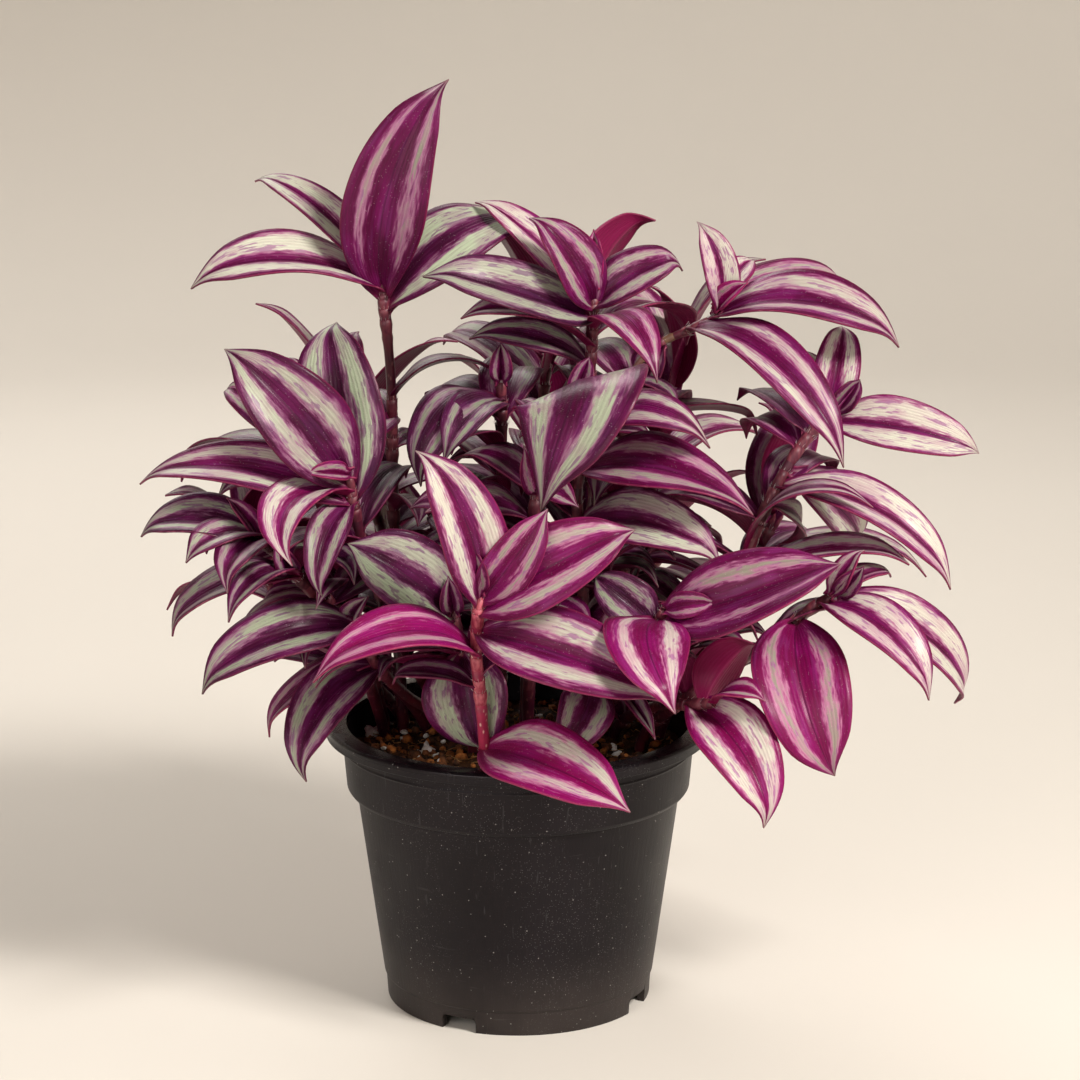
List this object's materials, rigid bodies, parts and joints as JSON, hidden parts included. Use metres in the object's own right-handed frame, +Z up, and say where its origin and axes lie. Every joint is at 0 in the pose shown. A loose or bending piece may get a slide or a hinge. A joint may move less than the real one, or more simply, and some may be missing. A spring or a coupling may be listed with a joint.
{
  "type": "potted tradescantia",
  "caption": "Bushy tradescantia with striped silver and purple pointed leaves on jointed stems, growing in soil in a plain black round nursery pot",
  "frame": {"origin": "centre of the pot's underside, on the surface it stands on", "axes": "+Z up along the pot's axis; -Y is the side seen in the picture, with the tallest stem at its left; +X right"},
  "size_m": [0.257, 0.2199, 0.2882],
  "materials": {
    "pot": "matte",
    "soil": "matte",
    "plant": "satin"
  },
  "bodies": {
    "root": {"pot": "pot", "soil": "soil", "stem_tall_left": "plant", "stem_top_centre": "plant", "stem_top_right": "plant", "stem_far_right": "plant", "stem_low_right": "plant", "stem_front_right": "plant", "stem_edge_right": "plant", "stem_front": "plant", "stem_inner_left": "plant", "stem_left": "plant", "stem_far_left": "plant", "stem_back_left": "plant", "stem_low_left": "plant", "stem_edge_left": "plant", "stem_behind": "plant", "stem_centre": "plant", "stem_centre_right": "plant", "stem_low_centre": "plant", "stem_back_centre": "plant", "stem_back_right": "plant", "stem_rear_left": "plant", "stem_rear_centre": "plant", "stem_side_right": "plant", "stem_side_left": "plant", "stem_low_back_right": "plant", "stem_low_back_left": "plant"}
  },
  "joints": []
}
